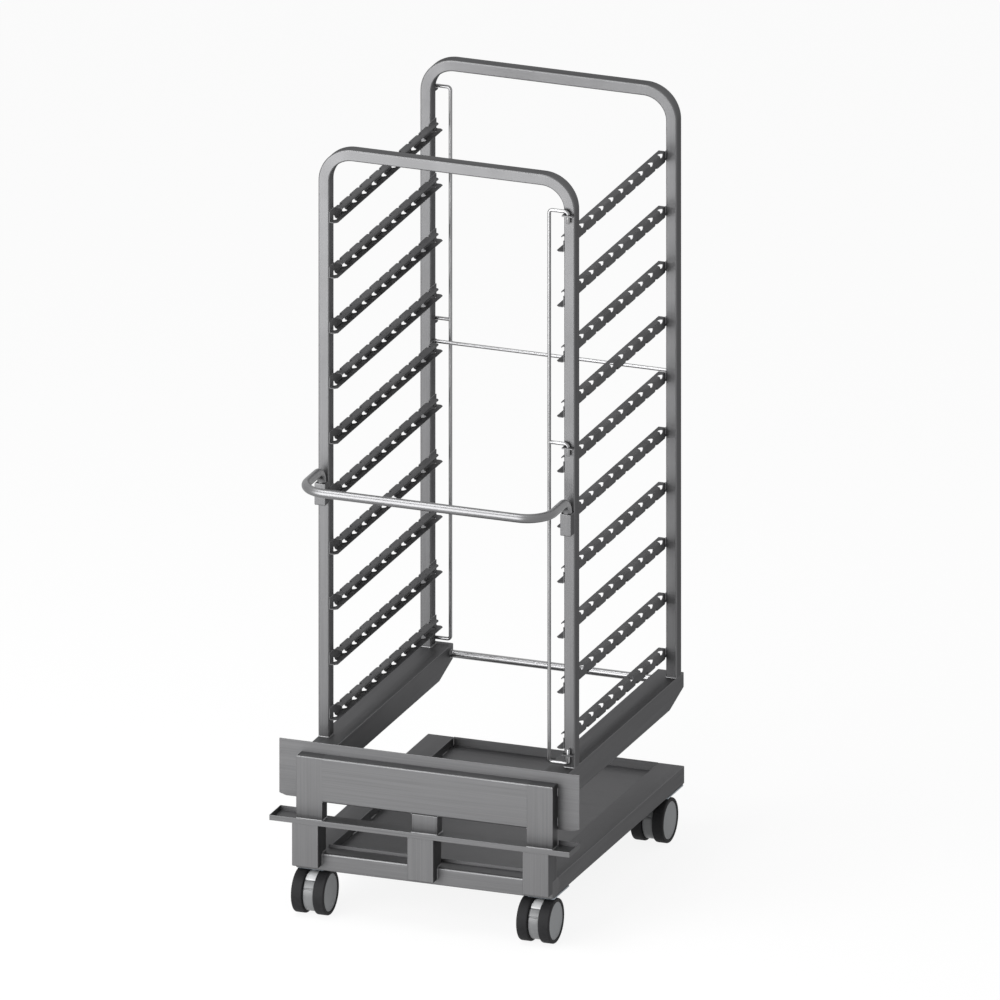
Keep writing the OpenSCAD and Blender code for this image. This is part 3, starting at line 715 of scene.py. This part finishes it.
# The neck's groove: its two edges below the neck's top, the slope at each, and its depth
GROOVE_LOW, GROOVE_HIGH, GROOVE_SLOPE, GROOVE_DEPTH = 9 * MM, 6.4 * MM, 0.6 * MM, 1 * MM
WEB_INSET, WEB_EDGE = 1 * MM, 1.5 * MM
TYRE_INNER_EDGE, TYRE_SHOULDER = 0.6 * MM, 3.5 * MM
DISC_R = 42 * MM
DISC_BACK = 1 * MM
DISC_RECESS = 1.5 * MM
DISC_CROWN = 0.8 * MM
DISC_EDGE_DEPTH, DISC_EDGE_WIDTH = 0.6 * MM, 0.8 * MM
AXLE_R = 5.05 * MM
AXLE_COVER = 0.55 * MM


def hood(place):
    """The hood between two wheels, as a function of the angle f about the axle and of the place
    x across it. The drum's radius dips at two seams by depth * exp(-(distance / half width)^4),
    and near both sides it is drawn in by edge * (1 - cos t) as x goes by edge * sin t. Above the
    upper seam lies a crown, in a bed in the hood: there the hood's radius is smaller by
    the bed's depth, and everywhere else the crown's is smaller by its foot. The crown's pale
    colour is a painted highlight, which stands in for the light that the frame above keeps off
    the hood's top. The neck under the plate is turned, and a web joins it to the drum."""
    node = f"caster_body_{place}"
    low, high = corner(node, 0), corner(node, 1)
    axle = np.array([(low[0] + high[0]) / 2, low[1] + DRUM_R, low[2] + DRUM_R])
    pin_y, top = axle[1] + TRAIL, high[2]
    f = np.linspace(-np.pi / 2, 1.5 * np.pi, 361)
    radius = np.full(f.shape, DRUM_R)
    for seam in SEAM_ANGLES:
        away = (f - math.pi + math.radians(seam)) * DRUM_R / SEAM_HALF
        radius -= SEAM_DEPTH * np.exp(-away ** 4)
    t = np.linspace(0, np.pi / 2, 6)
    across = np.append(HOOD_W / 2 - HOOD_EDGE * (1 - np.sin(t)), HOOD_W / 2)
    drop = np.append(HOOD_EDGE * (1 - np.cos(t)), DRUM_R)
    x = np.concatenate([-across[::-1], across])[:, None]
    # The angles where the pale crown lies, a painted highlight on the hood's top
    crowned = (f > math.radians(CROWN_BACK)) & (f < math.pi - math.radians(SEAM_ANGLES[0]))
    shells = []
    for outer in (np.where(crowned, DRUM_R - CROWN_BED, radius),
                  np.where(crowned, radius, DRUM_R - CROWN_FOOT)):
        r = np.clip(outer - np.concatenate([drop[::-1], drop])[:, None], 0, None)
        shells.append(np.stack(np.broadcast_arrays(
            axle[0] + x, axle[1] + r * np.cos(f), axle[2] + r * np.sin(f)), 2))
    foot, neck_r = axle[2] + NECK_FOOT - top, HOOD_W / 2
    waist = neck_r - GROOVE_DEPTH
    neck = [(foot, NECK_BORE), (foot, neck_r),
            (-GROOVE_LOW, neck_r), (-GROOVE_LOW + GROOVE_SLOPE, waist),
            (-GROOVE_HIGH - GROOVE_SLOPE, waist), (-GROOVE_HIGH, neck_r),
            (-NECK_CHAMFER, neck_r), (0, neck_r - NECK_CHAMFER), (0, NECK_BORE),
            (foot, NECK_BORE)]
    web_low, web_high = axle[2], top - neck_r
    web_path = np.array([(axle[0], y, (web_low + web_high) / 2) for y in (axle[1], pin_y)])
    web_section = round_rect(HOOD_W - WEB_INSET, web_high - web_low, WEB_EDGE)
    web = carried(web_section, web_path, np.array([(0, 1, 0), (0, 1, 0)]), (0, 0, 1))
    grids = [shells[0], turned(neck, (axle[0], pin_y, top), (0, 0, 1), steps=64), web]
    piece(f"caster_hood_{place}", grids, HOOD, f"swivel_{place}", [node])
    # The pale crown over the upper seam is a painted highlight
    piece(f"caster_crown_painted_highlight_{place}", [shells[1]], CROWN, f"swivel_{place}")


def wheel(place, side):
    """One wheel, turned about the axle from profiles of (distance outwards from its inner face,
    radius): a tyre with round shoulders, and a disc whose face is crowned like
    crown * (1 - (r / R)^2) over the axle's end."""
    node = f"wheel_{place}_{side}"
    low, high = corner(node, 0), corner(node, 1)
    way = -1 if side == "a" else 1
    centre = (low + high) / 2
    centre[0] = high[0] if side == "a" else low[0]
    wide, radius = high[0] - low[0], (high[2] - low[2]) / 2
    tyre = eased([(0, DISC_R), (0, radius), (wide, radius), (wide, DISC_R)],
                 [TYRE_INNER_EDGE, TYRE_SHOULDER, TYRE_SHOULDER, TYRE_INNER_EDGE])
    piece(f"tyre_{place}_{side}", [turned(tyre, centre, (way, 0, 0))], RUBBER, node,
          [node])
    face = wide - DISC_RECESS
    r = np.linspace(DISC_R - DISC_EDGE_WIDTH, 0, 9)
    crown = np.stack([face + DISC_CROWN * (1 - (r / DISC_R) ** 2), r], 1)
    disc = np.concatenate([
        [(DISC_BACK, AXLE_R), (DISC_BACK, DISC_R), (face - DISC_EDGE_DEPTH, DISC_R)], crown,
        [(face + AXLE_COVER, 0), (face + AXLE_COVER, AXLE_R), (DISC_BACK, AXLE_R)]])
    piece(f"disc_{place}_{side}", [turned(disc, centre, (way, 0, 0))], DISC, node,
          crease=30)


SCREW_STEP_X, SCREW_STEP_Y = 42 * MM, 76 * MM
HEAD_R, HEAD_EDGE, HEAD_ROUND = 5.5 * MM, 0.2 * MM, 0.3 * MM
SHANK_R, SHANK_CHAMFER = 3 * MM, 0.4 * MM
HEX_HALF, HEX_DEPTH, HEX_CHAMFER = 2.0 * MM, 2.5 * MM, 0.3 * MM


def mounting_screws():
    """Sixteen countersunk screws with a hexagon socket, four to a caster plate. Turned from
    (height above the head's face, radius); inside the socket the radius at the angle t is the
    half width divided by the cosine of t's distance from the middle of its flat."""
    low, high = corner("caster_screws", 0), corner("caster_screws", 1)
    t = np.linspace(0, 2 * np.pi, 49)
    hexagon = HEX_HALF / np.cos((t + np.pi / 6) % (np.pi / 3) - np.pi / 6)
    length = high[2] - low[2]
    plain = [(length, 0), (length, SHANK_R - SHANK_CHAMFER), (length - SHANK_CHAMFER, SHANK_R),
             (HEAD_R - SHANK_R, SHANK_R), (HEAD_EDGE, HEAD_R - HEAD_EDGE / 2),
             (0, HEAD_R - HEAD_ROUND)]
    rows = [(z, np.full(t.shape, r)) for z, r in plain]
    rows += [(0, hexagon + HEX_CHAMFER), (HEX_CHAMFER, hexagon), (HEX_DEPTH, hexagon),
             (HEX_DEPTH, 0 * t)]
    z, r = np.array([row[0] for row in rows])[:, None], np.stack([row[1] for row in rows])
    one = np.stack(np.broadcast_arrays(r * np.cos(t), r * np.sin(t), z), 2)
    mid_x = (corner("chassis_beam_right", 0)[0] + corner("chassis_beam_right", 1)[0]) / 2
    grids = []
    for place in CASTERS:
        left, front = corner(f"caster_body_{place}", 0)[:2]
        x, y = math.copysign(mid_x, left), front + DRUM_R + TRAIL
        for dx in (-SCREW_STEP_X / 2, SCREW_STEP_X / 2):
            for dy in (-SCREW_STEP_Y / 2, SCREW_STEP_Y / 2):
                grids.append(one + np.array([x + dx, y + dy, low[2]]))
    piece("mounting_screws", grids, ZINC, "root", ["caster_screws"], crease=30)


for place in CASTERS:
    hood(place)
    for side in "ab":
        wheel(place, side)
mounting_screws()


# Floor, light and camera

FLOOR_WHITE = 0.88
FLOOR_HALF = 30.0
ROOM_LIGHT = 0.7


def seen(tree):
    """1 for a ray from the camera, in gloss or through glass, and 0 for one that carries light."""
    rays = add(tree, "ShaderNodeLightPath").outputs
    either = add(tree, "ShaderNodeMath", [
        (0, rays["Is Camera Ray"]), (1, rays["Is Glossy Ray"])], operation="MAXIMUM")
    return add(tree, "ShaderNodeMath", [
        (0, either.outputs[0]), (1, rays["Is Transmission Ray"])], operation="MAXIMUM").outputs[0]


def stage_floor():
    """A wide pale floor. It shows white to the camera, in gloss and through glass, and keeps
    most of the trolley's soft shadow."""
    half = FLOOR_HALF
    mesh = bpy.data.meshes.new("floor")
    mesh.from_pydata([(-half, -half, 0), (half, -half, 0), (half, half, 0), (-half, half, 0)],
                     [], [(0, 1, 2, 3)])
    material = bpy.data.materials.new("pale_floor")
    material.use_nodes = True
    tree = material.node_tree
    tree.nodes.clear()
    share = add(tree, "ShaderNodeMath", [
        (0, seen(tree)), (1, FLOOR_WHITE)], operation="MULTIPLY")
    matt = add(tree, "ShaderNodeBsdfDiffuse", [("Color", linear("#f2f2f2"))])
    white = add(tree, "ShaderNodeEmission", [("Color", (1, 1, 1, 1)), ("Strength", 1.0)])
    mix = add(tree, "ShaderNodeMixShader", [
        (0, share.outputs[0]), (1, matt.outputs[0]), (2, white.outputs[0])])
    add(tree, "ShaderNodeOutputMaterial", [("Surface", mix.outputs[0])])
    mesh.materials.append(material)
    floor = bpy.data.objects.new("floor", mesh)
    bpy.context.scene.collection.objects.link(floor)


def softbox(name, place, target, width, height, radiance):
    """A rectangular area lamp that faces the target. Its power is radiance * pi * its area."""
    lamp = bpy.data.lights.new(name, "AREA")
    lamp.shape = "RECTANGLE"
    lamp.size, lamp.size_y = width, height
    lamp.energy = radiance * math.pi * width * height
    holder = bpy.data.objects.new(name, lamp)
    place, target = np.array(place, float), np.array(target, float)
    holder.location = place
    holder.rotation_euler = Vector(target - place).to_track_quat("-Z", "Y").to_euler()
    bpy.context.scene.collection.objects.link(holder)


def surroundings():
    """A plain studio room: white to the camera and in reflections, softer as light."""
    world = bpy.data.worlds.new("studio")
    bpy.context.scene.world = world
    world.use_nodes = True
    tree = world.node_tree
    tree.nodes.clear()
    strength = add(tree, "ShaderNodeMapRange", [
        ("Value", seen(tree)), ("To Min", ROOM_LIGHT), ("To Max", 1.0)])
    light = add(tree, "ShaderNodeBackground", [
        ("Color", (1, 1, 1, 1)), ("Strength", strength.outputs[0])])
    add(tree, "ShaderNodeOutputWorld", [("Surface", light.outputs[0])])


def camera():
    """The photograph's view: parallel lines, the given azimuth and elevation, and the image's
    centre at fixed distances to the right and up in the view's plane."""
    a, e = CAMERA_AZIMUTH, CAMERA_ELEVATION
    right = np.array([math.cos(a), math.sin(a), 0])
    up = np.array([-math.sin(a) * math.sin(e), math.cos(a) * math.sin(e), math.cos(e)])
    back = np.cross(right, up)
    data = bpy.data.cameras.new("view")
    data.type = "ORTHO"
    data.ortho_scale = VIEW_WIDTH
    data.clip_end = 100
    holder = bpy.data.objects.new("view", data)
    holder.location = VIEW_CENTRE_RIGHT * right + VIEW_CENTRE_UP * up + CAMERA_DISTANCE * back
    holder.rotation_euler = (math.pi / 2 - e, 0, a)
    bpy.context.scene.collection.objects.link(holder)
    bpy.context.scene.camera = holder


camera()
stage_floor()
surroundings()
softbox("front_softbox", place=(-1.25, -3.1, 1.35), target=(0, 0, 0.7),
        width=2.8, height=2.5, radiance=5.45)
softbox("top_softbox", place=(-1.0, -1.0, 3.6), target=(0, 0, 0.85),
        width=1.4, height=1.4, radiance=8.0)
bpy.context.scene.view_settings.view_transform = "Standard"
